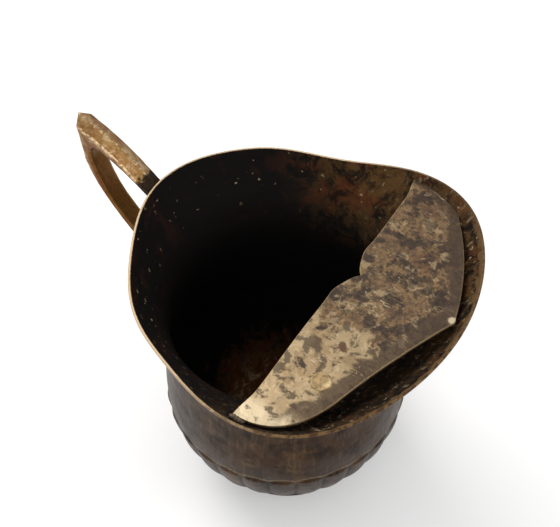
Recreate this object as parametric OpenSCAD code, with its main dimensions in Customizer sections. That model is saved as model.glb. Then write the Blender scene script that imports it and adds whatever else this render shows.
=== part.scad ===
// Loop-handled brass pouring pot with a guard plate across its lip.
// Units are millimetres, +Z is up, the pot stands on z = 0 with its axis on
// the Z axis, the lip points to +X and the handle to -X.

/* [Mouth] */
// Mean radius of the mouth at the rim
mouth_radius = 46.1; // [38:0.1:58]
// How far the lip side of the rim is carried forward
lip_reach = 6.9; // [0:0.1:12]
// Extra length of the mouth from handle to lip
mouth_oval = 1.5; // [0:0.1:5]
// How far the two shoulders of the lip are spread
lip_shoulder = 2.2; // [0:0.1:4]
// How far the rim is drawn in beside the shoulders
mouth_waist = 1.3; // [0:0.1:3]
// Small flattening of the lip's front
lip_front = 0.6; // [0:0.1:1.5]
// Hand-raised lean of the mouth to the right side
side_lean = 1.3; // [0:0.1:3]
// Hand-raised twist of the mouth's outline
side_twist = 0.7; // [0:0.1:2]
// Hand-raised unevenness of the two shoulders
side_dent = 1; // [0:0.1:2]
// Mean height of the rim above the table
rim_height = 98; // [80:0.5:120]
// Rise of the rim at the handle and at the lip
rim_rise = 0.9; // [0:0.1:3]
// Slow wave of the rim's height
rim_wave = 1.2; // [0:0.1:2]

/* [Bowl] */
// Radius of the belly at its widest
belly_radius = 37; // [28:0.2:48]
// Height of the belly's widest circle
belly_height = 39.5; // [28:0.5:50]
// Vertical half-axis of the lower belly
belly_drop = 41; // [36:0.5:60]
// Outer radius of the neck
neck_radius = 33.5; // [24:0.5:42]
// Height of the neck
neck_height = 72; // [60:0.5:84]
// Share of the lip's profile that turns up again at the rim
rim_turn_up = 0.6; // [0:0.05:1]
// Thickness of the sheet
sheet = 0.9; // [0.6:0.05:1.6]

/* [Gadroons] */
// Number of lobes chased round the lower belly
lobe_count = 28; // [12:2:36]
// How far a lobe stands out
lobe_depth = 0.8; // [0:0.1:2]
// Height at which the lobes begin
lobe_top = 37; // [25:0.5:45]

/* [Foot] */
// Height of the foot ring
foot_height = 5; // [3:0.5:9]
// Radius of the foot where it meets the table
foot_radius = 24.8; // [18:0.2:32]
// Radius of the foot's waist under the bowl
foot_waist = 22; // [16:0.2:30]
// Inner radius of the foot ring
foot_bore = 17.6; // [12:0.2:24]
// Height of the foot's bottom flange
foot_flange = 1.6; // [0.8:0.1:3]

/* [Handle] */
// How far the knee stands out from the rim
knee_reach = 23.4; // [15:0.2:34]
// How far the knee's point rises above the rim
knee_rise = 13.2; // [5:0.2:22]
// Drop from the knee's point to its heel
knee_drop = 12; // [6:0.2:20]
// How far the heel stands out beyond the knee's point
heel_kick = 0.7; // [0:0.1:4]
// Height of the ridge at the knee's point
knee_point = 2.5; // [0:0.1:5]
// Upward bow of the upper arm
arm_bow = 2; // [0:0.1:5]
// Height at which the lower arm meets the pot
low_root_height = 60; // [45:0.5:70]
// Width of the strap
strap_width = 6.4; // [4:0.2:12]
// Thickness of the strap
strap_thick = 2.3; // [1.5:0.1:5]
// How much thicker the strap is at the knee
knee_extra = 1.3; // [0:0.1:3]
// Height of the ridge along the strap's outside
strap_ridge = 1; // [0:0.1:2.5]

/* [Guard plate] */
// Thickness of the guard plate
guard_thick = 1; // [0.6:0.1:2]
// How far the plate's top lies under the mean rim
guard_drop = 1; // [0.2:0.1:4]
// Distance of the straight edge from the pot's axis
guard_back = 17.7; // [8:0.2:30]
// Side offset of the notch and of the nose
guard_offset = 5.3; // [-8:0.1:8]
// Depth of the V notch
notch_depth = 3.2; // [0:0.1:6]
// Half-width of the V notch
notch_half = 7; // [3:0.2:12]
// Gap between the nose and the wall
nose_gap = 0.83; // [0.3:0.05:6]
// Gap between the near edge's bend and the wall
near_bend_gap = 4.86; // [0.5:0.1:12]
// Direction of the near edge's bend
near_bend_angle = -40.2; // [-60:0.1:-20]
// Gap between the far edge's bend and the wall
far_bend_gap = 0.83; // [0.3:0.05:6]
// Direction of the far edge's bend
far_bend_angle = 35.6; // [15:0.1:45]
// Angle at which the far end meets the wall
far_end_angle = 69; // [55:1:85]
// Angle at which the far edge leaves the wall
far_leave_angle = 49; // [46:1:60]
// Angle of the near end
near_end_angle = -69.5; // [-85:0.5:-55]
// Gap between the near end and the wall, filled by solder
near_gap = 1.2; // [0.2:0.1:3]

/* [Rivet and bracket] */
// Distance of the rivet's axis from the wall
rivet_wall_gap = 11.43; // [5:0.1:20]
// Direction of the rivet
rivet_angle = -42.5; // [-60:0.5:-20]
// Radius of the rivet's head
rivet_head_radius = 2.6; // [1.5:0.1:5]
// Height of the rivet's head above the plate
rivet_head_height = 0.25; // [0.1:0.05:1]
// Radius of the rivet's shank
rivet_shank_radius = 1.5; // [0.8:0.1:3]
// Radial clearance of the shank in its holes
rivet_clearance = 0.05; // [0.02:0.01:0.2]
// Height of the rivet's closed end under the bracket
rivet_tail = 0.8; // [0.4:0.1:2]
// Thickness of the bracket under the plate
bracket_thick = 1; // [0.6:0.1:2]
// Width of the bracket
bracket_width = 7; // [5:0.2:12]

/* [Joints] */
// Depth to which a soldered end is let into the wall
solder_bite = 0.35; // [0.1:0.05:0.6]
// Thickness of a solder pad on the wall
solder_pad = 1; // [0.5:0.1:2]

/* [Hidden] */
brass = [0.33, 0.26, 0.17];
pale_brass = [0.62, 0.53, 0.38];
tin = [0.45, 0.42, 0.38];
columns = 4 * lobe_count;
rows_belly = 9;
rows_neck = 6;
rows_lip = 9;
guard_top = rim_height - guard_drop;
guard_low = guard_top - guard_thick;

function mix(a, b, t) = a + (b - a) * t;
function ease(t) = 0.5 - 0.5 * cos(180 * t);
function polar(r, a) = [r * cos(a), r * sin(a)];

// Rim outline and height at angle a from the lip's direction.
function rim_r(a) = mouth_radius + lip_reach * cos(a) + mouth_oval * cos(2 * a)
    - lip_shoulder * cos(3 * a) - mouth_waist * cos(4 * a) + lip_front * cos(6 * a)
    - side_lean * sin(a) - side_twist * sin(2 * a) + side_dent * sin(3 * a);
function rim_z(a) = rim_height + rim_rise * (cos(a) + cos(2 * a)) - rim_wave * cos(3 * a);

// Outer profile: u runs 0 to 1 up the lower belly, 1 to 2 to the neck, 2 to 3
// up the lip. Each point is [radius, height] at angle a.
bottom_turn = acos((belly_height - foot_height) / belly_drop);
function lobe(z, a) = z > lobe_top ? 0 :
    lobe_depth * abs(sin(lobe_count * a / 2))
    * ease(min(1, (lobe_top - z) / 6)) * ease(min(1, (z - foot_height) / 14));
function bowl_r(z) = mix(belly_radius, neck_radius,
    ease((z - belly_height) / (neck_height - belly_height)));
function flare(t) = mix(t * t, ease(t), rim_turn_up);
function skin(u, a) =
    u <= 1 ? let (p = mix(bottom_turn, 90, u), z = belly_height - belly_drop * cos(p))
        [belly_radius * sin(p) + lobe(z, a), z] :
    u <= 2 ? let (z = mix(belly_height, neck_height, u - 1)) [bowl_r(z), z] :
    [mix(neck_radius, rim_r(a), flare(u - 2)), mix(neck_height, rim_z(a), u - 2)];
// Inner profile: the outer one moved inwards by the sheet's thickness.
function lining(u, a) =
    let (p = skin(u, a), d = skin(min(3, u + 0.02), a) - skin(max(0, u - 0.02), a))
    p - sheet * [d[1], -d[0]] / norm(d);
// Outer and inner radius of the wall at a height above the neck.
function lip_turn(z, a) = (z - neck_height) / (rim_z(a) - neck_height);
function wall_out(z, a) = skin(2 + lip_turn(z, a), a)[0];
function wall_in(z, a) = let (u = 2 + lip_turn(z, a), d = skin(u + 0.01, a) - skin(u - 0.01, a))
    wall_out(z, a) - sheet * norm(d) / d[1];

// ---- shell ----
outer_rows = concat([for (i = [0 : rows_belly - 1]) i / rows_belly],
                    [for (i = [0 : rows_neck - 1]) 1 + i / rows_neck],
                    [for (i = [0 : rows_lip]) 2 + i / rows_lip]);
inner_rows = [for (i = [len(outer_rows) - 1 : -1 : 1]) outer_rows[i]];
function ring(u, inside) = [for (i = [0 : columns - 1])
    let (a = 360 * i / columns, p = inside ? lining(u, a) : skin(u, a))
    [p[0] * cos(a), p[0] * sin(a), p[1]]];

module shell() {
    rings = concat([for (u = outer_rows) ring(u, false)], [for (u = inner_rows) ring(u, true)]);
    count = len(rings);
    last = 1 + count * columns;
    floor_z = rings[count - 1][0][2];
    points = concat([[0, 0, foot_height]], [for (r = rings) each r], [[0, 0, floor_z]]);
    sides = [for (j = [0 : count - 2], i = [0 : columns - 1])
        let (k = (i + 1) % columns, a = 1 + j * columns + i, b = a + columns,
             c = 1 + (j + 1) * columns + k, d = 1 + j * columns + k)
        each [[a, b, c], [a, c, d]]];
    caps = [for (i = [0 : columns - 1]) let (k = (i + 1) % columns)
        each [[0, 1 + i, 1 + k],
              [last, 1 + (count - 1) * columns + k, 1 + (count - 1) * columns + i]]];
    color(brass) polyhedron(points, concat(sides, caps), convexity = 8);
}

// ---- foot ----
seat_radius = belly_radius * sin(bottom_turn);

module foot_ring() {
    color(brass) rotate_extrude($fn = 96)
        polygon([[foot_bore + 0.8, 0], [foot_radius - 0.4, 0], [foot_radius, 0.4],
                 [foot_radius, foot_flange], [foot_waist, foot_flange + 1.2],
                 [foot_waist, foot_height], [foot_bore, foot_height], [foot_bore, 0.8]]);
}

module foot_solder() {
    lift = 1.6;
    turn = acos((belly_height - foot_height - lift) / belly_drop);
    color(tin) rotate_extrude($fn = 96)
        polygon([[seat_radius - solder_bite, foot_height], [foot_waist, foot_height],
                 [belly_radius * sin(turn) - solder_bite / 2, foot_height + lift],
                 [seat_radius - solder_bite, foot_height + solder_bite]]);
}

// ---- handle ----
back_rim = rim_r(180);
knee = [-back_rim - knee_reach, rim_z(180) + knee_rise];
heel = knee + [-heel_kick, -knee_drop];
top_root_z = rim_z(180) - 1.6;
top_root_low = top_root_z - 1.3 * strap_thick;
top_root = [-wall_out(top_root_z, 180) + solder_bite, top_root_z];
low_root_z = low_root_height - 0.65 * strap_thick;
low_root_high = low_root_height + 0.65 * strap_thick;
low_root = [-bowl_r(low_root_z) + solder_bite, low_root_z];
function bezier2(a, b, c, t) = a * (1 - t) * (1 - t) + 2 * b * t * (1 - t) + c * t * t;
function bezier3(a, b, c, d, t) = a * pow(1 - t, 3) + 3 * b * t * pow(1 - t, 2)
    + 3 * c * t * t * (1 - t) + d * t * t * t;
// Outside line of the strap, then its inside line, both from the upper root.
arm_dir = (knee - top_root) / norm(knee - top_root);
arm_up = [arm_dir[1], -arm_dir[0]];
arm_mid = mix(top_root, knee, 0.6) + 2 * arm_bow * arm_up;
arch_start = 0.62;
arm_out = [for (i = [0 : 7]) bezier2(top_root, arm_mid, knee, i * arch_start / 7)];
arm_in = concat([[-wall_out(top_root_low, 180) + solder_bite, top_root_low]],
    [for (i = [1 : 7]) let (t = i * arch_start / 7,
        d = bezier2(top_root, arm_mid, knee, t + 0.01) - bezier2(top_root, arm_mid, knee, t - 0.01))
        arm_out[i] - (strap_thick + knee_extra * ease(i / 7)) * [d[1], -d[0]] / norm(d)]);
elbow_a = heel + [2.2, -0.72 * (heel[1] - low_root[1]) * 0.5];
elbow_b = low_root + [-15.5, 12.5];
function low_line(t) = bezier3(heel, elbow_a, elbow_b, low_root, t);
low_out = [for (i = [0 : 11]) low_line(i / 11)];
low_in = concat([for (i = [0 : 10]) let (t = i / 11, d = low_line(t + 0.01) - low_line(max(0, t - 0.01)))
    low_out[i] + (strap_thick + knee_extra * ease(max(0, 1 - 2.5 * t))) * [-d[1], d[0]] / norm(d)],
    [[-bowl_r(low_root_high) + solder_bite, low_root_high]]);
knee_out = [for (i = [2 : -1 : 0]) bezier2(top_root, arm_mid, knee, 1 - 0.1 * i)];
heel_out = [for (i = [1 : 2]) mix(knee, heel, i / 3)];
corner_out = concat([bezier2(top_root, arm_mid, knee, 0.72)], knee_out, heel_out);
arch_rise = 1.6;
arch_tip = [low_in[0][0] + 0.3, arm_in[7][1] + arch_rise];
corner_in = [for (i = [1 : len(corner_out)])
    bezier2(arm_in[7], arch_tip, low_in[0], i / (len(corner_out) + 1))];
knee_station = len(arm_out) + 3;
line_out = concat(arm_out, corner_out, low_out);
line_in = concat(arm_in, corner_in, low_in);

module handle() {
    // Each station is a seven-sided section between the inside and outside lines.
    n = len(line_out);
    half = strap_width / 2;
    stations = [for (i = [0 : n - 1])
        let (o = line_out[i], d = o - line_in[i], e = d / norm(d), q = line_in[i],
        crest = i == knee_station ? o + [-0.3, knee_point] : o + strap_ridge * e)
        [for (s = [[q, -half + 0.7], [q + 0.7 * e, -half], [o - 0.9 * e, -half], [crest, -0.2],
                   [o - 0.9 * e, half], [q + 0.7 * e, half], [q, half - 0.7]])
            [s[0][0], s[1], s[0][1]]]];
    sides = [for (j = [0 : n - 2], i = [0 : 6])
        let (k = (i + 1) % 7, a = 7 * j + i, b = 7 * (j + 1) + i, c = 7 * (j + 1) + k, d = 7 * j + k)
        each [[a, c, b], [a, d, c]]];
    ends = concat([for (i = [1 : 5]) [0, i + 1, i]],
                  [for (i = [1 : 5]) [7 * (n - 1), 7 * (n - 1) + i, 7 * (n - 1) + i + 1]]);
    color(brass) polyhedron([for (s = stations) each s], concat(sides, ends), convexity = 6);
}

module wall_pad(at, slope, high, wide) {
    // Domed pad of solder on the back wall, its flat let into the wall.
    translate([at[0], 0, at[1]]) rotate([0, -90 - atan(slope), 0])
        translate([0, 0, -solder_bite]) scale([high, wide, 1])
            cylinder(h = solder_pad + solder_bite, r1 = 1, r2 = 0.72, $fn = 48);
}

module handle_top_solder() {
    z = (top_root_z + top_root_low) / 2;
    color(tin) wall_pad([-wall_out(z, 180), z], (wall_out(z + 1, 180) - wall_out(z - 1, 180)) / 2,
        strap_thick, strap_width / 2 + 1.2);
}

module handle_low_solder() {
    z = low_root_height;
    color(tin) wall_pad([-bowl_r(z), z], (bowl_r(z + 1) - bowl_r(z - 1)) / 2,
        2 * strap_thick, strap_width / 2 + 1.2);
}

// ---- guard plate ----
guard_mid = (guard_top + guard_low) / 2;
nose_angle = asin((guard_offset - 0.3) / (wall_in(guard_mid, 0) - nose_gap));
nose = polar(wall_in(guard_mid, nose_angle) - nose_gap, nose_angle);
rivet_reach = wall_in(guard_mid, rivet_angle) - rivet_wall_gap;
near_wall = wall_in(guard_mid, near_end_angle);
near_tip = polar(near_wall - near_gap, near_end_angle);
far_wall = [for (a = [far_leave_angle : 3 : far_end_angle])
    polar(wall_in(guard_mid, a) - 0.02, a)];
near_bend = polar(wall_in(guard_mid, near_bend_angle) - near_bend_gap, near_bend_angle);
far_bend = polar(wall_in(guard_mid, far_bend_angle) - far_bend_gap, far_bend_angle);
near_edge = concat(
    [for (i = [0 : 9]) bezier3([near_tip[0] + 2, near_tip[1] - 0.1], [near_tip[0] + 10, near_tip[1] - 0.2],
        [near_bend[0] - 2.1, near_bend[1] - 7.3], near_bend, i / 10)],
    [for (i = [0 : 9]) bezier3(near_bend, [near_bend[0] + 1.9, near_bend[1] + 6.6],
        [nose[0] - 7.8, nose[1] - 16.9], nose + [-0.5, -1], i / 9)]);
notch = [for (s = [-1, -0.75, -0.5, -0.25, 0, 0.25, 0.5, 0.75, 1])
    [guard_back + notch_depth * (1 - abs(s)) * (1 - 0.35 * sin(180 * abs(s))), guard_offset + notch_half * s]];
function guard_outline() = concat([near_tip], near_edge,
    [nose, nose + [-0.5, 1.4], far_bend],
    far_wall, [for (i = [len(notch) - 1 : -1 : 0]) notch[i]]);

module at_rivet() {
    translate([rivet_reach * cos(rivet_angle), rivet_reach * sin(rivet_angle), 0]) children();
}

module rivet_hole() {
    translate([0, 0, guard_low - 2 * bracket_thick])
        cylinder(h = guard_thick + 3 * bracket_thick, r = rivet_shank_radius + rivet_clearance, $fn = 48);
}

module guard_plate() {
    color(pale_brass) difference() {
        translate([0, 0, guard_low]) linear_extrude(guard_thick) polygon(guard_outline());
        at_rivet() rivet_hole();
    }
}

module seam(from_angle, to_angle, gap) {
    // Band of solder between the plate's end and the wall.
    steps = 6;
    translate([0, 0, guard_low - 0.4]) linear_extrude(guard_thick + 0.6)
        polygon(concat(
            [for (i = [0 : steps]) let (a = mix(from_angle, to_angle, i / steps))
                polar(wall_in(guard_mid, a) + solder_bite, a)],
            [for (i = [steps : -1 : 0]) let (a = mix(from_angle, to_angle, i / steps))
                polar(wall_in(guard_mid, a) - gap - solder_bite, a)]));
}

module guard_solder_near() {
    color(tin) seam(near_end_angle - 1, near_end_angle + 4, near_gap);
}

module guard_solder_far() {
    color(tin) seam(far_leave_angle + 2, far_end_angle - 1, 0.4);
}

// ---- rivet and bracket ----
// The bracket's leg ends at the lowest height where the wall is clear of it.
bracket_foot = [for (i = [0 : 22]) let (z = guard_low - 12 + 0.5 * i)
    if (wall_in(z, rivet_angle) >= rivet_reach + bracket_width / 2 + 0.2) z][0];

module guard_rivet() {
    color(pale_brass) at_rivet() {
        translate([0, 0, guard_top]) cylinder(h = rivet_head_height, r = rivet_head_radius, $fn = 48);
        translate([0, 0, guard_low - bracket_thick])
            cylinder(h = guard_thick + bracket_thick, r = rivet_shank_radius, $fn = 48);
        translate([0, 0, guard_low - bracket_thick - rivet_tail])
            cylinder(h = rivet_tail, r = rivet_shank_radius * 1.5, $fn = 48);
    }
}

module guard_bracket() {
    leg_in = rivet_reach + bracket_width / 2 - bracket_thick;
    leg_out = leg_in + bracket_thick;
    color(brass) difference() {
        rotate([0, 0, rivet_angle]) translate([0, bracket_width / 2, 0]) rotate([90, 0, 0])
            linear_extrude(bracket_width)
                polygon([[rivet_reach - bracket_width / 2, guard_low],
                         [rivet_reach - bracket_width / 2, guard_low - bracket_thick],
                         [leg_in, guard_low - bracket_thick],
                         [leg_in, bracket_foot - 1.0],
                         [leg_out, bracket_foot - solder_bite],
                         [leg_out, guard_low]]);
        at_rivet() rivet_hole();
    }
}

shell();
foot_ring();
foot_solder();
handle();
handle_top_solder();
handle_low_solder();
guard_plate();
guard_solder_near();
guard_solder_far();
guard_rivet();
guard_bracket();
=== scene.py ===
"""Looks for a raised brass pouring pot with a loop handle and a guard plate across its lip.

The pot is one sheet of brass raised into a gadrooned belly, a neck and a flared lip. It stands on a
turned foot ring. A ridge-backed strap handle is soldered to its back, and a notched plate guards its lip.
Sizes in the classes are millimetres in the frame of the CAD model, and meshes are written in metres.
"""

import logging
from dataclasses import dataclass
from enum import Enum
from math import cos, pi, radians, sin

import bpy
import numpy as np
from mathutils import Matrix, Vector


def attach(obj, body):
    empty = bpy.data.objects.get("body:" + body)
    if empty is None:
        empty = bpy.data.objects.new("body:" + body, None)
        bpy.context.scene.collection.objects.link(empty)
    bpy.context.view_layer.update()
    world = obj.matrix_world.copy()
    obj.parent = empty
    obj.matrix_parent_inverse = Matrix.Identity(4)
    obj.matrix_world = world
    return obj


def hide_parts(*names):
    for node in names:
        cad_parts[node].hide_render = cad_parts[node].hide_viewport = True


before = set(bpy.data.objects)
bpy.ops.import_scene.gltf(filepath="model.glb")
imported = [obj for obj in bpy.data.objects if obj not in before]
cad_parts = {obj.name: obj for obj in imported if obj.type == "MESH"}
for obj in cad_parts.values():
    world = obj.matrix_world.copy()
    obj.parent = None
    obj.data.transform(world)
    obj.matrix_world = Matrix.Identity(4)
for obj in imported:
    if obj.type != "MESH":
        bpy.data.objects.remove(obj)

LOG = logging.getLogger("coffee_pot")
MM = 0.001
BODY = "pot"
Triple = tuple[float, float, float]
Colour = Triple


# ---- shader maths


class Value:
    """A shader socket that takes part in Python arithmetic."""

    def __init__(self, graph: "Graph", socket: bpy.types.NodeSocket) -> None:
        """Keeps the graph that the socket belongs to, and the socket."""
        self.graph = graph
        self.socket = socket

    def math(self, operation: str, *others: "Value | float", clamp: bool = False) -> "Value":
        """Adds one Math node.

        Args:
            operation: the Math node's operation.
            others: the operands after this one.
            clamp: whether the result is kept between 0 and 1.

        Returns:
            The node's result.
        """
        settings = {"operation": operation, "use_clamp": clamp}
        return self.graph.add("ShaderNodeMath", settings, dict(enumerate((self, *others))))

    def __add__(self, other: "Value | float") -> "Value":
        """Sum."""
        return self.math("ADD", other)

    __radd__ = __add__

    def __mul__(self, other: "Value | float") -> "Value":
        """Product."""
        return self.math("MULTIPLY", other)

    __rmul__ = __mul__

    def __sub__(self, other: "Value | float") -> "Value":
        """Difference."""
        return self.math("SUBTRACT", other)

    def __rsub__(self, other: float) -> "Value":
        """Difference, with this value taken away from a number."""
        return (self * -1.0) + other

    def __pow__(self, other: float) -> "Value":
        """Power."""
        return self.math("POWER", other)

    def __abs__(self) -> "Value":
        """Size without the sign."""
        return self.math("ABSOLUTE")

    def most(self, other: "Value | float") -> "Value":
        """The larger of two values."""
        return self.math("MAXIMUM", other)

    def clamp(self) -> "Value":
        """The value kept between 0 and 1."""
        return self.math("ADD", 0.0, clamp=True)

    def step(self, low: float, high: float) -> "Value":
        """A smooth rise from 0 at low to 1 at high, or a fall where high is the smaller.

        Args:
            low: the value at which the result is 0.
            high: the value at which the result is 1.

        Returns:
            The eased value.
        """
        settings = {"interpolation_type": "SMOOTHSTEP"}
        inputs = {"Value": self, "From Min": min(low, high), "From Max": max(low, high),
                  "To Min": 0.0 if low < high else 1.0, "To Max": 1.0 if low < high else 0.0}
        return self.graph.add("ShaderNodeMapRange", settings, inputs)


class Graph:
    """The node tree of one material, built by plain calls."""

    def __init__(self, name: str) -> None:
        """Starts a material with an empty tree and Object coordinates in millimetres.

        Args:
            name: the material's name.
        """
        self.material = bpy.data.materials.new(name)
        self.material.use_nodes = True
        self.tree = self.material.node_tree
        self.tree.nodes.clear()
        place = self.add("ShaderNodeTexCoord", output="Object")
        self.place = self.turned(place, scale=(1 / MM, 1 / MM, 1 / MM))

    def add(self, kind: str, settings: dict | None = None, inputs: dict | None = None,
            output: int | str = 0) -> Value:
        """Adds any node.

        Args:
            kind: the node's type.
            settings: its properties.
            inputs: its sockets by name or number, each a number, a tuple or a Value.
            output: the output to return.

        Returns:
            The chosen output.
        """
        node = self.tree.nodes.new(kind)
        for key, value in (settings or {}).items():
            setattr(node, key, value)
        for key, value in (inputs or {}).items():
            if isinstance(value, Value):
                self.tree.links.new(value.socket, node.inputs[key])
            else:
                node.inputs[key].default_value = value
        return Value(self, node.outputs[output])

    def turned(self, place: Value, scale: Triple = (1.0, 1.0, 1.0), angle: Triple = (0.0, 0.0, 0.0),
               move: Triple = (0.0, 0.0, 0.0)) -> Value:
        """Scales, turns and moves coordinates with a Mapping node.

        Args:
            place: the coordinates.
            scale: factor on each axis.
            angle: turn about each axis in radians.
            move: shift after the turn.

        Returns:
            The new coordinates.
        """
        inputs = {"Vector": place, "Scale": scale, "Rotation": angle, "Location": move}
        return self.add("ShaderNodeMapping", None, inputs)

    def noise(self, scale: float, detail: float = 4.0, rough: float = 0.5, warp: float = 0.0,
              place: Value | None = None) -> Value:
        """Fractal noise, with scale in waves per millimetre.

        Args:
            scale: waves per millimetre.
            detail: number of octaves.
            rough: share of the finer octaves.
            warp: distortion.
            place: coordinates other than the piece's own.

        Returns:
            A value around 0.5.
        """
        inputs = {"Vector": place or self.place, "Scale": scale, "Detail": detail, "Roughness": rough,
                  "Distortion": warp}
        return self.add("ShaderNodeTexNoise", {"noise_dimensions": "3D"}, inputs)

    def cells(self, scale: float, feature: str = "F1", place: Value | None = None) -> Value:
        """Distance to scattered points, with scale in points per millimetre."""
        inputs = {"Vector": place or self.place, "Scale": scale}
        return self.add("ShaderNodeTexVoronoi", {"feature": feature}, inputs, "Distance")

    def scratches(self, angle: float, fine: float, long: float, width: float) -> Value:
        """Thin broken lines that run across the piece.

        The value is near 1 where stretched noise crosses its middle level.

        Args:
            angle: direction about +Z in radians.
            fine: waves per millimetre across the lines.
            long: waves per millimetre along the lines.
            width: share of the noise's range that counts as a line.

        Returns:
            1 on a line and 0 elsewhere.
        """
        place = self.turned(self.place, scale=(long, fine, fine), angle=(0.0, 0.0, angle))
        line = abs(self.noise(1.0, 2.0, 0.5, 0.3, place) - 0.5)
        breaks = self.noise(0.09, 2.0).step(0.5, 0.62)
        return line.step(width, 0.0) * breaks

    def distance(self, centre: Triple) -> Value:
        """Distance from a fixed place in millimetres."""
        return self._vector("DISTANCE", centre)

    def along(self, direction: Triple) -> Value:
        """How far each point lies along a direction, in millimetres."""
        return self._vector("DOT_PRODUCT", direction)

    def _vector(self, operation: str, other: Triple) -> Value:
        """A number made from the coordinates and a fixed vector by one Vector Math node."""
        return self.add("ShaderNodeVectorMath", {"operation": operation}, {0: self.place, 1: other}, "Value")

    def attribute(self, name: str) -> Value:
        """A number that the mesh carries at each point."""
        return self.add("ShaderNodeAttribute", {"attribute_name": name}, None, "Fac")

    def axis(self, name: str) -> Value:
        """The X, Y or Z coordinate in millimetres."""
        return self.add("ShaderNodeSeparateXYZ", None, {"Vector": self.place}, name)

    def blend(self, factor: Value | float, low: Value | Colour, high: Value | Colour) -> Value:
        """Mixes two colours.

        Args:
            factor: 0 for the first colour and 1 for the second.
            low: the first colour.
            high: the second colour.

        Returns:
            The mixed colour.
        """
        inputs = {0: factor, 6: self._rgba(low), 7: self._rgba(high)}
        return self.add("ShaderNodeMix", {"data_type": "RGBA", "clamp_factor": True}, inputs, 2)

    def coats(self, colour: Value | Colour, *layers: tuple[Value | float, Value | Colour]) -> Value:
        """Lays colours over a first one.

        Args:
            colour: the colour at the bottom.
            layers: how much of each further colour shows, and the colour, from the bottom up.

        Returns:
            The colour at the top.
        """
        for share, layer in layers:
            colour = self.blend(share, colour, layer)
        return colour

    @staticmethod
    def _rgba(colour: Value | Colour) -> Value | tuple[float, ...]:
        """A plain colour with its alpha, or a link as it is."""
        return colour if isinstance(colour, Value) else (*colour, 1.0)

    def bump(self, height: Value, depth: float, below: Value | None = None) -> Value:
        """Turns a height into a normal.

        Args:
            height: the height, in units of depth.
            depth: the distance in millimetres that a height of 1 stands for.
            below: a coarser bump under this one.

        Returns:
            The normal.
        """
        inputs = {"Height": height, "Distance": depth * MM, "Strength": 1.0}
        if below is not None:
            inputs["Normal"] = below
        return self.add("ShaderNodeBump", None, inputs)

    def finish(self, colour: Value | Colour, rough: Value | float, metal: Value | float,
               normal: Value | None, specular: float = 0.5) -> bpy.types.Material:
        """Joins everything in one Principled shader.

        Args:
            colour: base colour.
            rough: roughness.
            metal: metallic share.
            normal: normal, if the surface has relief.
            specular: specular level, the same all over.

        Returns:
            The material.
        """
        inputs = {"Base Color": self._rgba(colour), "Roughness": rough, "Metallic": metal,
                  "Specular IOR Level": specular}
        if normal is not None:
            inputs["Normal"] = normal
        shader = self.add("ShaderNodeBsdfPrincipled", None, inputs)
        output = self.tree.nodes.new("ShaderNodeOutputMaterial")
        self.tree.links.new(shader.socket, output.inputs["Surface"])
        return self.material


def srgb(red: float, green: float, blue: float) -> Colour:
    """A colour given as 0 to 255 display values, as the linear values that shaders take."""
    return tuple((c / 255.0 / 12.92) if c <= 10.3 else ((c / 255.0 + 0.055) / 1.055) ** 2.4
                 for c in (red, green, blue))


# ---- finishes


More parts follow.
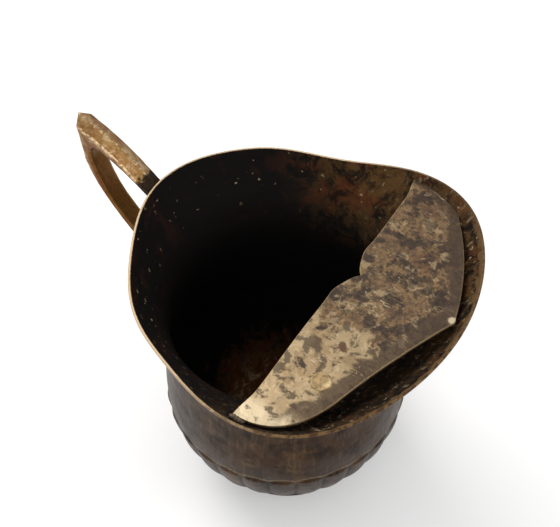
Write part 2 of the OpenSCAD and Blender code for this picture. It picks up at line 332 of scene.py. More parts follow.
@dataclass(frozen=True)
class SheetFinish:
    """Old raised sheet brass: brown-grey outside with a grey sheen painted towards the sides, near-black
    inside from dark tarnish and painted shade, and rubbed bright at the rim.
    """

    name: str = "sheet_brass"
    brown: Colour = srgb(54, 37, 24)
    grey: Colour = srgb(76, 65, 57)
    dark: Colour = srgb(27, 20, 15)
    gold: Colour = srgb(112, 82, 48)
    # near_black: dark tarnish of the inside, darkened further as painted shade of the deep inside
    near_black: Colour = srgb(19, 17, 16)
    rust: Colour = srgb(92, 44, 22)
    olive: Colour = srgb(98, 70, 38)
    rim: Colour = srgb(184, 160, 128)
    tan: Colour = srgb(104, 80, 52)
    cream: Colour = srgb(172, 150, 118)
    pool: Triple = (-10.0, 6.0, 8.0)
    # sheen_side: plan direction across the view; grey sheen is painted towards both of its ends
    sheen_side: Triple = (0.81, 0.58, 0.0)
    lit_side: Triple = (0.55, 0.83, 0.0)
    mouth: float = 46.0
    belly: float = 38.0

    def build(self) -> bpy.types.Material:
        """Builds the material of both faces of the sheet.

        The mesh gives "inner", 1 on the inside; "edge", millimetres down from the rim; "groove_shade", 1 in
        the valleys between lobes, where shade is painted; and "line", 1 on the highlight painted along the
        shoulder above the lobes.

        Returns:
            The material.
        """
        g = Graph(self.name)
        inner, edge = g.attribute("inner"), g.attribute("edge")
        groove_shade, line = g.attribute("groove_shade"), g.attribute("line")
        forward = g.axis("X") * (1 / self.mouth)
        sideways = g.along(self.lit_side) * (1 / self.mouth)
        brushed = g.noise(1.0, 5.0, 0.6, 0.0, g.turned(g.place, scale=(0.9, 0.9, 0.08)))
        fine = g.noise(2.2, 3.0, 0.6)
        cloud = g.noise(0.07, 4.0, 0.55, 0.4)
        patch = g.noise(0.16, 6.0, 0.62, 0.8)
        # side: 1 at the pot's left and right edges as seen, where a grey sheen is painted
        side = abs(g.along(self.sheen_side) * (1 / self.belly)) ** 2.0
        tarnish_and_sheen_grey = (side * 0.75 + cloud - 0.42 + (patch - 0.5) * 0.5).clamp()
        smudge = g.noise(0.1, 5.0, 0.66, 0.5).step(0.45, 0.68) * side.step(0.6, 0.0)
        outside = g.coats(
            # brown greyed by random tarnish clouds and by the painted sheen at the sides
            g.blend(tarnish_and_sheen_grey, self.brown, self.grey),
            (patch.step(0.52, 0.36) * 0.8, self.dark),
            (smudge * fine.step(0.35, 0.6) * 0.6, self.gold),
            ((brushed - 0.5) * 1.6 + 0.1, self.dark),
            # pale streaks along the brush lines: painted sheen on the brushed metal
            ((0.44 - brushed) * 0.9 * cloud, self.cream),
            # scratches show only within the painted side sheen
            (g.scratches(0.4, 1.4, 0.05, 0.012) * 0.4 * side, self.cream),
            # painted shade in the valleys between lobes
            (groove_shade * 0.8, self.dark),
            # painted highlight along the shoulder just above the lobes
            (line * fine.step(0.4, 0.6) * 0.55, self.cream))
        lip = edge.step(34.0, 4.0)
        front, far = forward.step(-0.2, 0.75), sideways.step(0.25, 0.85)
        stain = g.noise(0.13, 6.0, 0.66, 1.2)
        flecks = g.noise(0.5, 3.0, 0.7, 0.5)
        blotch = (stain * 0.6 + flecks * 0.4).step(0.42, 0.58)
        # warm: olive on the inner lip, strongest on the lit far side: partly stain blotches and partly
        # painted light
        warm = (lip * (front * 0.25 + far * (0.9 - front * 0.65))).clamp() * (blotch * 0.8 + 0.2)
        pool = (g.distance(self.pool) + (stain - 0.5) * 60.0).step(24.0, 10.0)
        rusty = g.noise(0.1, 5.0, 0.65, 0.6).step(0.5, 0.62) * (far * (0.6 - front * 0.5) + 0.1)
        streaks = g.noise(1.0, 4.0, 0.6, 0.5, g.turned(g.place, scale=(0.7, 0.7, 0.12)))
        specks = g.cells(0.35).step(0.24, 0.16) * flecks.step(0.56, 0.6) * edge.step(22.0, 4.0)
        ragged = edge + (g.noise(0.35, 4.0, 0.6) - 0.5) * 7.0
        inside = g.coats(
            g.blend(warm, self.near_black, self.olive),
            (pool, g.blend(flecks.step(0.35, 0.65), self.rust, self.olive)),
            (pool * stain.step(0.5, 0.62), self.cream),
            (lip * rusty, self.rust),
            (stain.step(0.5, 0.4) * (0.8 - pool * 0.5), self.near_black),
            (lip * front * streaks.step(0.55, 0.72) * 0.4, self.cream),
            (specks * 0.75, self.cream),
            # tan band just inside the rim at the front: painted light on the lit inner wall of the lip
            (ragged.step(1.6, 0.6) * forward.step(0.6, 0.95) * 0.75, self.tan))
        worn = (abs(inner - 0.4) + (fine - 0.5) * 0.5).step(0.46, 0.3) * edge.step(0.6, 0.3)
        bead = g.coats(self.rim, (front, self.tan), (front * flecks.step(0.42, 0.56) * 0.8, self.brown))
        colour = g.coats(outside, (inner, inside), (worn, bead))
        rough = (0.42 + (fine - 0.5) * 0.3 + inner * 0.3 - worn * 0.1 + groove_shade * 0.1).clamp()
        metal = (0.62 - inner * 0.5 + worn * 0.1).clamp()
        relief = g.bump(g.noise(0.12, 2.0, 0.5), 0.5)
        relief = g.bump(patch * 0.6 + brushed * 0.35 + fine * 0.15, 0.12, relief)
        return g.finish(colour, rough, metal, relief, specular=0.06)


@dataclass(frozen=True)
class GuardFinish:
    """The guard's flat brass: cream where it is bare, taupe where tarnish covers it, with painted glare
    spreading the cream towards the near end and a painted highlight at the near tip.
    """

    name: str = "guard_brass"
    cream: Colour = srgb(162, 140, 106)
    pale: Colour = srgb(202, 184, 152)
    tan: Colour = srgb(124, 98, 66)
    taupe: Colour = srgb(84, 65, 48)
    russet: Colour = srgb(88, 58, 40)
    slate: Colour = srgb(40, 32, 28)
    edge: Colour = srgb(158, 134, 98)
    nose: Triple = (47.4, 5.0, 97.4)
    reach: float = 44.0

    def build(self) -> bpy.types.Material:
        """Builds the material of the plate.

        The mesh gives "rim", millimetres from the plate's outer edge, and "bend", 1 on its rounded edges.

        Returns:
            The material.
        """
        g = Graph(self.name)
        y = g.axis("Y")
        rim, bend = g.attribute("rim"), g.attribute("bend")
        big = g.noise(0.08, 3.0, 0.5, 0.4)
        mid = g.noise(0.17, 6.0, 0.58, 0.3)
        other = g.noise(0.2, 6.0, 0.6, 0.3, g.turned(g.place, move=(31.0, 17.0, 5.0)))
        small = g.noise(0.9, 4.0, 0.6, 0.6)
        fleck = g.noise(1.6, 3.0, 0.6, 0.3)
        grain = g.noise(4.0, 3.0, 0.6)
        # near: painted glare that spreads the bare cream towards the plate's near end
        near = (y * (1 / self.reach)).step(0.35, -0.75)
        bare_and_glare = (mid * 0.9 + fleck * 0.12 + big * 0.3 + near * 0.24 - 0.31).step(0.455, 0.53)
        dots = g.noise(0.26, 6.0, 0.6, 0.3).step(0.56, 0.62)
        # tip: painted highlight at the near tip
        tip = (y + (mid - 0.5) * 9.0).step(-37.0, -42.0)
        spots = (mid * 0.5 + g.noise(0.34, 5.0, 0.6, 0.3) * 0.5 + fleck * 0.1).step(0.58, 0.64)
        band = (rim + (mid - 0.5) * 14.0).step(5.4, 3.0) * (1.0 - tip)
        lines = g.scratches(0.9, 0.7, 0.06, 0.006).most(g.scratches(-0.5, 0.5, 0.05, 0.005))
        worn = (bend + (small - 0.5) * 0.6).step(0.35, 0.7)
        nose = (g.distance(self.nose) + (small - 0.5) * 2.0).step(1.5, 0.8)
        colour = g.coats(
            g.blend((mid * 0.4 + small * 0.6).step(0.42, 0.56), self.taupe, self.tan),
            (big.step(0.5, 0.62) * 0.5, self.russet),
            ((other * 0.85 + fleck * 0.15).step(0.48, 0.58) * 0.8, self.slate),
            (small.step(0.54, 0.7) * 0.4, self.slate),
            (bare_and_glare * 0.9, self.cream),
            (bare_and_glare * small.step(0.48, 0.7) * 0.35, self.pale),
            (bare_and_glare * other.step(0.47, 0.6) * 0.55, self.tan),
            (dots * 0.55, self.cream),
            # painted highlight at the near tip
            (tip * 0.8, self.pale),
            (spots * 0.7, self.slate),
            (band * 0.85, g.blend(small, self.slate, self.taupe)),
            ((grain - 0.5) * 0.5 + 0.06, self.slate),
            (lines * 0.5, self.pale),
            (worn * 0.6, self.edge),
            (nose * 0.8, self.pale))
        rough = (0.46 - bare_and_glare * 0.1 + (grain - 0.5) * 0.25 + spots * 0.12).clamp()
        metal = (0.3 + bare_and_glare * 0.2 + worn * 0.2).clamp()
        relief = g.bump(big, 0.5)
        relief = g.bump(bare_and_glare * 0.35 + mid * 0.5 + small * 0.2 - lines * 0.4, 0.09, relief)
        return g.finish(colour, rough, metal, relief, specular=0.25)


@dataclass(frozen=True)
class HandleFinish:
    """Cast brass: golden on the back, partly worn by the hand and partly painted light on the roof facet that
    faces the lamps; brown on the inside, black by the solder.
    """

    name: str = "handle_brass"
    gold: Colour = srgb(138, 106, 64)
    pale: Colour = srgb(206, 182, 144)
    brown: Colour = srgb(116, 80, 38)
    red: Colour = srgb(100, 52, 27)
    dark: Colour = srgb(16, 9, 5)

    def build(self) -> bpy.types.Material:
        """Builds the material of the strap.

        The mesh gives "back", 1 on the ridge side and most on the roof facet where light is painted;
        "arris_highlight", 1 on sharp edges, where highlights are painted; "root", millimetres from the nearer
        solder joint; and "flank", 1 on the side walls.

        Returns:
            The material.
        """
        g = Graph(self.name)
        back, arris_highlight = g.attribute("back"), g.attribute("arris_highlight")
        root, flank = g.attribute("root"), g.attribute("flank")
        stain = g.noise(0.16, 5.0, 0.6, 0.6)
        fine = g.noise(1.1, 4.0, 0.62)
        glow = g.noise(0.3, 5.0, 0.65, 0.4).step(0.45, 0.65) * back
        # near_black: darker towards both solder joints
        near_black = (root + (g.noise(0.45, 5.0, 0.65) - 0.5) * 9.0).step(6.6, 5.0)
        colour = g.coats(
            # gold on the back: partly hand wear and partly painted light on the roof facet that faces the
            # lamps
            g.blend((back * 0.9 + (stain - 0.5) * 1.3).clamp(), self.brown, self.gold),
            (flank * stain.step(0.3, 0.62) * 0.9, self.red),
            (stain.step(0.54, 0.7) * 0.45, self.red),
            (fine.step(0.57, 0.7) * 0.5, self.dark),
            (glow * 0.45, self.pale),
            # pale painted highlights along the strap's edges
            ((arris_highlight * 0.8 + (fine - 0.5) * 1.6).step(0.6, 1.0) * 0.85, self.pale),
            (near_black * 0.95, self.dark))
        rough = (0.38 + (fine - 0.5) * 0.3 + near_black * 0.25 - arris_highlight * 0.08).clamp()
        metal = (0.65 - near_black * 0.6).clamp()
        relief = g.bump(fine, 0.07, g.bump(stain, 0.35))
        return g.finish(colour, rough, metal, relief, specular=0.05)


@dataclass(frozen=True)
class RubbedFinish:
    """A small brass or solder piece with cloudy tarnish and bright rubs."""

    name: str
    base: Colour
    bright: Colour
    dark: Colour
    scale: float
    metal: float
    rough: float
    relief: float

    def build(self) -> bpy.types.Material:
        """Builds the material.

        Returns:
            The material.
        """
        g = Graph(self.name)
        cloud = g.noise(self.scale, 5.0, 0.6, 0.7)
        fine = g.noise(self.scale * 5.0, 3.0, 0.6)
        colour = g.coats(self.base, (cloud.step(0.5, 0.72), self.bright),
                         (cloud.step(0.5, 0.32) * 0.8, self.dark), (fine.step(0.6, 0.72) * 0.5, self.dark))
        rough = (self.rough + (fine - 0.5) * 0.3).clamp()
        normal = g.bump(cloud * 0.7 + fine * 0.3, self.relief)
        return g.finish(colour, rough, self.metal, normal)


@dataclass(frozen=True)
class TableFinish:
    """The pale surface under the pot."""

    name: str = "pale_table"
    white: Colour = (0.86, 0.86, 0.86)
    shade: Colour = (0.8, 0.8, 0.8)

    def build(self) -> bpy.types.Material:
        """Builds the material.

        Returns:
            The material.
        """
        g = Graph(self.name)
        colour = g.blend(g.noise(0.004, 2.0, 0.5) * 0.05, self.white, self.shade)
        return g.finish(colour, 0.7, 0.0, None, specular=0.2)


# ---- mesh helpers


class Seam(Enum):
    """How a grid of points is joined across its columns."""

    OPEN = "open"
    CLOSED = "closed"


def grid_faces(rows: int, columns: int, seam: Seam) -> np.ndarray:
    """Quads of a grid whose points run row by row.

    Each quad joins point (row, column) to its next column and next row. A closed seam joins the last
    column to the first.

    Args:
        rows: number of rows.
        columns: number of columns.
        seam: whether the last column meets the first.

    Returns:
        Point numbers, four to a face.
    """
    width = columns if seam is Seam.CLOSED else columns - 1
    row = np.arange(rows - 1)[:, None] * columns
    left = np.arange(width)[None, :]
    right = (left + 1) % columns
    quads = np.stack([row + left, row + right, row + columns + right, row + columns + left], axis=-1)
    return quads.reshape(-1, 4)


def fan_faces(centre: int, start: int, count: int, reverse: bool) -> np.ndarray:
    """Triangles from a closed ring of points to one centre point.

    Args:
        centre: number of the centre point.
        start: number of the ring's first point.
        count: number of points in the ring.
        reverse: whether the triangles run against the ring.

    Returns:
        Point numbers, three to a face.
    """
    near = start + np.arange(count)
    far = start + (np.arange(count) + 1) % count
    centres = np.full(count, centre)
    pair = (far, near) if reverse else (near, far)
    return np.stack([centres, *pair], axis=-1)


def make_piece(name: str, points: np.ndarray, quads: np.ndarray, triangles: np.ndarray | None,
               values: dict[str, np.ndarray], material: bpy.types.Material) -> bpy.types.Object:
    """Writes a mesh of quads and triangles with its point values.

    Args:
        name: the piece's name.
        points: positions in millimetres.
        quads: faces of four points.
        triangles: faces of three points, or None.
        values: numbers carried at each point, by name.
        material: the finish.

    Returns:
        The new object, at the origin.
    """
    tris = np.zeros((0, 3), int) if triangles is None else triangles
    loops = np.concatenate([quads.ravel(), tris.ravel()]).astype(np.int32)
    sizes = np.concatenate([np.full(len(quads), 4), np.full(len(tris), 3)]).astype(np.int32)
    starts = np.concatenate([[0], np.cumsum(sizes)[:-1]]).astype(np.int32)
    mesh = bpy.data.meshes.new(name)
    mesh.vertices.add(len(points))
    mesh.vertices.foreach_set("co", (points * MM).astype(np.float32).ravel())
    mesh.loops.add(len(loops))
    mesh.loops.foreach_set("vertex_index", loops)
    mesh.polygons.add(len(sizes))
    mesh.polygons.foreach_set("loop_start", starts)
    mesh.polygons.foreach_set("use_smooth", np.ones(len(sizes), bool))
    mesh.update(calc_edges=True)
    mesh.validate()
    for key, numbers in values.items():
        layer = mesh.attributes.new(key, "FLOAT", "POINT")
        layer.data.foreach_set("value", numbers.astype(np.float32).ravel())
    mesh.materials.append(material)
    piece = bpy.data.objects.new(name, mesh)
    bpy.context.scene.collection.objects.link(piece)
    return piece


def loft(name: str, rings: np.ndarray, material: bpy.types.Material, poles: np.ndarray | None = None,
         values: dict[str, tuple[np.ndarray, float, float]] | None = None,
         reverse: bool = False) -> bpy.types.Object:
    """Joins a row of closed rings, and closes each end with triangles to a pole.

    Args:
        name: the piece's name.
        rings: positions in millimetres, with shape (rings, points, 3).
        material: the finish.
        poles: the two end points; without them, each end ring's mean.
        values: by name, the numbers carried at the rings' points and at both poles.
        reverse: whether the faces run against the rings.

    Returns:
        The piece.
    """
    rows, count = rings.shape[:2]
    total = rows * count
    ends = rings[[0, -1]].mean(axis=1) if poles is None else poles
    quads = grid_faces(rows, count, Seam.CLOSED)
    fans = np.concatenate([fan_faces(total, 0, count, not reverse),
                           fan_faces(total + 1, total - count, count, reverse)])
    numbers = {key: np.append(inner.ravel(), last) for key, (inner, *last) in (values or {}).items()}
    return make_piece(name, np.concatenate([rings.reshape(-1, 3), ends]),
                      quads[:, ::-1] if reverse else quads, fans, numbers, material)


def adopt(piece: bpy.types.Object, slot: str, *nodes: str) -> bpy.types.Object:
    """Puts a piece in place of CAD nodes and lets it ride on the pot.

    Args:
        piece: the new piece.
        slot: not used.
        nodes: the nodes that it stands for.

    Returns:
        The piece.
    """
    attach(piece, BODY)
    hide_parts(*nodes)
    return piece


def dress(node: str, material: bpy.types.Material) -> None:
    """Gives a CAD node a new finish and keeps its mesh.

    Args:
        node: the node's name.
        material: the finish.
    """
    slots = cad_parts[node].data.materials
    slots.clear()
    slots.append(material)


def ease(t: np.ndarray | float) -> np.ndarray | float:
    """Half a cosine wave from 0 to 1, held flat outside that range."""
    return 0.5 - 0.5 * np.cos(pi * np.clip(t, 0.0, 1.0))


def mix(low: np.ndarray | float, high: np.ndarray | float, t: np.ndarray | float) -> np.ndarray | float:
    """Straight mix of two values."""
    return low + (high - low) * t


def bezier(points: list[np.ndarray], t: np.ndarray) -> np.ndarray:
    """Points of a Bezier curve of any degree, by repeated straight mixes.

    Args:
        points: control points.
        t: parameters from 0 to 1.

    Returns:
        One point for each parameter.
    """
    layers = [np.broadcast_to(p, (len(t), len(p))) for p in points]
    while len(layers) > 1:
        layers = [mix(a, b, t[:, None]) for a, b in zip(layers, layers[1:])]
    return layers[0]


def arc_length(line: np.ndarray) -> np.ndarray:
    """Distance along a line from its first point to each point."""
    return np.concatenate([[0.0], np.cumsum(np.linalg.norm(np.diff(line, axis=0), axis=1))])


def unit(vectors: np.ndarray) -> np.ndarray:
    """Vectors brought to a length of 1."""
    return vectors / np.linalg.norm(vectors, axis=-1, keepdims=True)


def offset_line(line: np.ndarray, distance: np.ndarray | float) -> np.ndarray:
    """A plane line moved sideways to its right by a distance.

    Args:
        line: points of the line.
        distance: how far it moves, at each point or everywhere.

    Returns:
        The moved points.
    """
    along = unit(np.gradient(line, axis=0))
    return line + np.atleast_1d(distance)[:, None] * np.stack([along[:, 1], -along[:, 0]], axis=1)


def resample(line: np.ndarray, count: int) -> np.ndarray:
    """Evenly spaced points along an open line.

    Args:
        line: its points.
        count: the number wanted.

    Returns:
        The new points.
    """
    run = arc_length(line)
    at = np.linspace(0.0, run[-1], count)
    return np.stack([np.interp(at, run, line[:, k]) for k in range(line.shape[1])], axis=1)


def ripple(a: np.ndarray, b: np.ndarray, seed: int, waves: int, pitch: float) -> np.ndarray:
    """Smooth irregular waves in two parameters.

    The value is the mean of sines. Each has a whole number of waves in a turn of the first parameter, a
    slope in the second and a phase, all drawn from the seed.

    Args:
        a: first parameter in radians.
        b: second parameter in radians.
        seed: seed of the sines.
        waves: how many sines.
        pitch: largest number of waves in a turn.

    Returns:
        A value between about -1 and 1.
    """
    random = np.random.default_rng(seed)
    turns = random.integers(1, max(2, int(pitch)) + 1, waves)
    rises = random.uniform(-pitch, pitch, waves)
    phases = random.uniform(0, 2 * pi, waves)
    total = np.sin(a[..., None] * turns + b[..., None] * rises + phases).sum(axis=-1)
    return total / waves


# ---- the pot


@dataclass
class Shell:
    """The raised sheet: bowl, gadroons, neck and flared mouth."""

    mouth_radius: float = 46.1
    lip_reach: float = 6.9
    mouth_oval: float = 1.5
    lip_shoulder: float = 2.2
    mouth_waist: float = 1.3
    lip_front: float = 0.6
    side_lean: float = 1.3
    side_twist: float = 0.7
    side_dent: float = 1.0
    rim_height: float = 98.0
    rim_rise: float = 0.9
    rim_wave: float = 1.2
    belly_radius: float = 37.0
    belly_height: float = 39.5
    belly_drop: float = 41.0
    neck_radius: float = 33.5
    neck_height: float = 72.0
    rim_turn_up: float = 0.6
    sheet: float = 0.75
    lobe_count: int = 28
    lobe_depth: float = 0.6
    lobe_top: float = 37.4
    lobe_arch: float = 0.9
    lobe_ease: float = 1.6
    lobe_fade: float = 16.0
    # height and width of the painted highlight line above the lobes
    shoulder_highlight_rise: float = 0.5
    shoulder_highlight_width: float = 0.35
    foot_height: float = 5.0
    dent_depth: float = 0.22
    rim_waver: float = 0.22
    columns_per_lobe: int = 12
    row_ends: tuple[float, ...] = (0.0, 0.84, 1.0, 2.0, 2.96, 3.0)
    row_counts: tuple[int, ...] = (30, 26, 24, 34, 4)
    rim_rows: int = 7

    @property
    def bottom_turn(self) -> float:
        """Angle on the lower belly's ellipse at which the flat bottom starts."""
        return float(np.arccos((self.belly_height - self.foot_height) / self.belly_drop))

    def rim_radius(self, a: np.ndarray) -> np.ndarray:
        """Radius of the rim's outline: a circle plus the first waves of a turn.

        Args:
            a: angle round the pot.

        Returns:
            The radius.
        """
        return (self.mouth_radius + self.lip_reach * np.cos(a) + self.mouth_oval * np.cos(2 * a)
                - self.lip_shoulder * np.cos(3 * a) - self.mouth_waist * np.cos(4 * a)
                + self.lip_front * np.cos(6 * a) - self.side_lean * np.sin(a)
                - self.side_twist * np.sin(2 * a) + self.side_dent * np.sin(3 * a))

    def rim_level(self, a: np.ndarray) -> np.ndarray:
        """Height of the rim at angle a: a level plus the first waves of a turn."""
        return (self.rim_height + self.rim_rise * (np.cos(a) + np.cos(2 * a))
                - self.rim_wave * np.cos(3 * a))

    def bowl_radius(self, z: np.ndarray) -> np.ndarray:
        """Radius between belly and neck: half a cosine wave from the one to the other."""
        return mix(self.belly_radius, self.neck_radius,
                   ease((z - self.belly_height) / (self.neck_height - self.belly_height)))

    def flare(self, t: np.ndarray) -> np.ndarray:
        """Outward swing of the lip: a square law mixed with half a cosine wave."""
        return mix(t * t, ease(t), self.rim_turn_up)

    def wall_radius(self, z: float, a: float) -> float:
        """Outer radius of the lip at a height above the neck and an angle.

        Args:
            z: height.
            a: angle in radians.

        Returns:
            The radius.
        """
        t = (z - self.neck_height) / (float(self.rim_level(np.array(a))) - self.neck_height)
        return float(mix(self.neck_radius, self.rim_radius(np.array(a)), self.flare(np.array(t))))

    def inner_radius(self, z: float, a: float) -> float:
        """Inner radius of the lip: the outer one less the sheet's slanted thickness.

        Args:
            z: height.
            a: angle in radians.

        Returns:
            The radius.
        """
        slope = (self.wall_radius(z + 0.2, a) - self.wall_radius(z - 0.2, a)) / 0.4
        return self.wall_radius(z, a) - self.sheet * float(np.hypot(1.0, slope))

    def lobe_wave(self, a: np.ndarray) -> np.ndarray:
        """Rounded lobes with sharp valleys: the size of half as many sine waves."""
        return np.abs(np.sin(self.lobe_count * a / 2)) ** 0.8

    def lobes(self, z: np.ndarray, a: np.ndarray) -> np.ndarray:
        """How far the lobes stand out: steep at their arched tops, fading towards the foot.

        Args:
            z: height.
            a: angle.

        Returns:
            The added radius.
        """
        wave = self.lobe_wave(a)
        top = self.lobe_top + self.lobe_arch * wave
        return (self.lobe_depth * wave * ease((top - z) / self.lobe_ease + 0.2)
                * ease((z - self.foot_height) / self.lobe_fade))

    def skin(self, u: np.ndarray, a: np.ndarray) -> np.ndarray:
        """The outer surface.

        u runs 0 to 1 up the lower belly, an ellipse; 1 to 2 up to the neck, half a cosine wave; and 2 to 3
        up the lip, which leaves the neck's circle for the rim's outline. Slow ripples dent it all.

        Args:
            u: parameter up the wall.
            a: angle round the pot.

        Returns:
            Positions.
        """
        turn = mix(self.bottom_turn, pi / 2, np.clip(u, 0, 1))
        low_z = self.belly_height - self.belly_drop * np.cos(turn)
        mid_z = mix(self.belly_height, self.neck_height, np.clip(u - 1, 0, 1))
        t = np.clip(u - 2, 0, 1)
        z = np.where(u <= 1, low_z, np.where(u <= 2, mid_z, mix(self.neck_height, self.rim_level(a), t)))
        radius = np.where(u <= 1, self.belly_radius * np.sin(turn) + self.lobes(low_z, a),
                          np.where(u <= 2, self.bowl_radius(mid_z),
                                   mix(self.neck_radius, self.rim_radius(a), self.flare(t))))
        fade = ease(u / 0.6)
        dents = ripple(a, u, 3, 9, 4.0) + 0.35 * ripple(a, u * 3, 5, 12, 11.0)
        radius = radius + fade * self.dent_depth * dents
        z = z + ease(u - 2) * self.rim_waver * ripple(a, u * 0, 8, 9, 13.0)
        return np.stack([radius * np.cos(a), radius * np.sin(a), z], axis=-1)

    def rows(self) -> np.ndarray:
        """Values of u for the grid's rows, closest where the lobes begin and at the rim."""
        spans = zip(self.row_ends, self.row_ends[1:], self.row_counts)
        return np.concatenate([np.linspace(low, high, count, endpoint=high == self.row_ends[-1])
                               for low, high, count in spans])

    def build(self, material: bpy.types.Material) -> bpy.types.Object:
        """Builds both faces of the sheet, its rounded rim and its flat bottom as one closed mesh.

        The inner face is the outer one moved inwards along its normal by the sheet's thickness. A half
        circle joins them at the rim, and a pole closes each bottom.

        Args:
            material: the finish.

        Returns:
            The piece.
        """
        count = self.lobe_count * self.columns_per_lobe
        a = np.linspace(0.0, 2 * pi, count, endpoint=False)[None, :]
        u = self.rows()[:, None]
        grid_u, grid_a = np.broadcast_arrays(u, a)
        step = 1e-3
        low_u, high_u = np.clip(grid_u - step, 0, 3), np.clip(grid_u + step, 0, 3)
        outer = self.skin(grid_u, grid_a)
        up = unit(self.skin(high_u, grid_a) - self.skin(low_u, grid_a))
        normal = unit(np.cross(self.skin(grid_u, grid_a + step) - self.skin(grid_u, grid_a - step), up))
        inner = outer - self.sheet * normal
        turn = np.linspace(0, pi, self.rim_rows + 2)[1:-1, None, None]
        middle = (outer[-1] + inner[-1]) / 2
        rim = middle + self.sheet / 2 * (np.cos(turn) * normal[-1] + 0.8 * np.sin(turn) * up[-1])
        lobe_start = self.row_counts[0]
        keep = np.unique(np.concatenate([[2], np.arange(4, len(u), 2), np.arange(len(u) - 5, len(u)),
                                         np.arange(lobe_start, lobe_start + self.row_counts[1])]))
        lining = inner[keep][::-1]
        poles = np.array([[0.0, 0.0, outer[0, :, 2].mean()], [0.0, 0.0, lining[-1, :, 2].mean()]])
        z = outer[..., 2]
        wave = self.lobe_wave(grid_a)
        drop = self.rim_level(grid_a) - z
        blank = np.zeros((self.rim_rows, count))
        face = [0 * z, blank + np.linspace(0.2, 0.8, self.rim_rows)[:, None], 0 * z[keep] + 1]
        # valley_shade: where shade is painted, deepest in the lobe valleys
        valley_shade = (1 - wave) ** 3 * ease((self.lobe_top - z) / 2.0) * ease((z - 6.0) / 6.0)
        above = z - self.lobe_top - self.lobe_arch * wave
        # line: where the shoulder highlight is painted, a thin band just above the lobe tops
        line = np.exp(-((above - self.shoulder_highlight_rise) / self.shoulder_highlight_width) ** 2)
        values = {"inner": (np.concatenate(face), 0.0, 1.0),
                  "edge": (np.concatenate([drop, blank, drop[keep][::-1]]), 90.0, 90.0),
                  "groove_shade": (np.concatenate([valley_shade, blank, 0 * z[keep]]), 0.0, 0.0),
                  "line": (np.concatenate([line, blank, 0 * z[keep]]), 0.0, 0.0)}
        rings = np.concatenate([outer, rim, lining])
        return adopt(loft("raised_shell", rings, material, poles, values), "shell", "shell")


def revolve(name: str, profile: np.ndarray, columns: int, material: bpy.types.Material,
            centre: tuple[float, float] = (0.0, 0.0), closed: bool = True) -> bpy.types.Object:
    """Turns a profile of radius and height about a vertical axis.

    Args:
        name: the piece's name.
        profile: points of radius and height, anticlockwise with radius to the right.
        columns: steps in a turn.
        material: the finish.
        centre: the axis's place.
        closed: whether the profile's end joins its start; if not, its ends lie on the axis.

    Returns:
        The piece.
    """
    a = np.linspace(0, 2 * pi, columns, endpoint=False)[None, :]
    body = profile if closed else profile[1:-1]
    r, z = body[:, 0:1], body[:, 1:2]
    ring = np.stack([centre[0] + r * np.cos(a), centre[1] + r * np.sin(a), z + 0 * a], axis=-1)
    if closed:
        quads = grid_faces(len(body) + 1, columns, Seam.CLOSED) % (len(body) * columns)
        return make_piece(name, ring.reshape(-1, 3), quads, None, {}, material)
    poles = np.array([[*centre, profile[0, 1]], [*centre, profile[-1, 1]]])
    return loft(name, ring, material, poles)


def soften(corners: np.ndarray, radius: float, steps: int = 4) -> np.ndarray:
    """Rounds the corners of closed outlines.

    Each corner becomes a short quadratic curve that starts and ends a set distance from it, or 0.45 of
    the side's length where that is less.

    Args:
        corners: outlines, with shape (..., corners, 2).
        radius: distance from a corner at which its curve starts.
        steps: points on each curve.

    Returns:
        The rounded outlines, with steps times as many points.
    """
    sides = [np.roll(corners, shift, axis=-2) - corners for shift in (1, -1)]
    reaches = [np.linalg.norm(side, axis=-1, keepdims=True) for side in sides]
    start, end = (corners + side / reach * np.minimum(radius, 0.45 * reach)
                  for side, reach in zip(sides, reaches))
    t = np.linspace(0, 1, steps)[:, None]
    curve = (start[..., None, :] * (1 - t) ** 2 + 2 * corners[..., None, :] * t * (1 - t)
             + end[..., None, :] * t ** 2)
    return curve.reshape(*corners.shape[:-2], -1, 2)


def refine(outline: np.ndarray, steps: int, to_corner: int) -> tuple[np.ndarray, np.ndarray]:
    """Adds evenly spaced points between those of closed outlines.

    Args:
        outline: outlines, with shape (..., points, 2).
        steps: points for each one before.
        to_corner: points to a rounded corner.

    Returns:
        The finer outlines, and at each new point how near it is to a corner, from 0 to 1.
    """
    t = np.arange(steps) / steps
    after = np.roll(outline, -1, axis=-2)
    finer = outline[..., None, :] * (1 - t[:, None]) + after[..., None, :] * t[:, None]
    flat = np.arange(outline.shape[-2]) % to_corner == to_corner - 1
    near = np.where(flat[:, None], np.abs(2 * t - 1) ** 2, 1.0).ravel()
    return finer.reshape(*outline.shape[:-2], -1, 2), near


@dataclass
class Foot:
    """The turned ring that the pot stands on, and its solder."""

    height: float = 5.0
    radius: float = 24.8
    waist: float = 22.0
    bore: float = 17.6
    flange: float = 1.6
    slant: float = 1.2
    edge: float = 0.4
    chamfer: float = 0.8

    def build(self, brass: bpy.types.Material, solder: bpy.types.Material) -> list[bpy.types.Object]:
        """Builds the ring as a rounded turned profile, and gives the solder its finish.

        Args:
            brass: finish of the ring.
            solder: finish of the solder.

        Returns:
            The ring.
        """
        corners = np.array([[self.bore + self.chamfer, 0.0], [self.radius - self.edge, 0.0],
                            [self.radius, self.edge], [self.radius, self.flange],
                            [self.waist, self.flange + self.slant], [self.waist, self.height],
                            [self.bore, self.height], [self.bore, self.chamfer]])
        ring = revolve("foot_ring_turned", soften(corners, 0.45), 144, brass)
        dress("foot_solder", solder)
        return [adopt(ring, "foot", "foot_ring")]


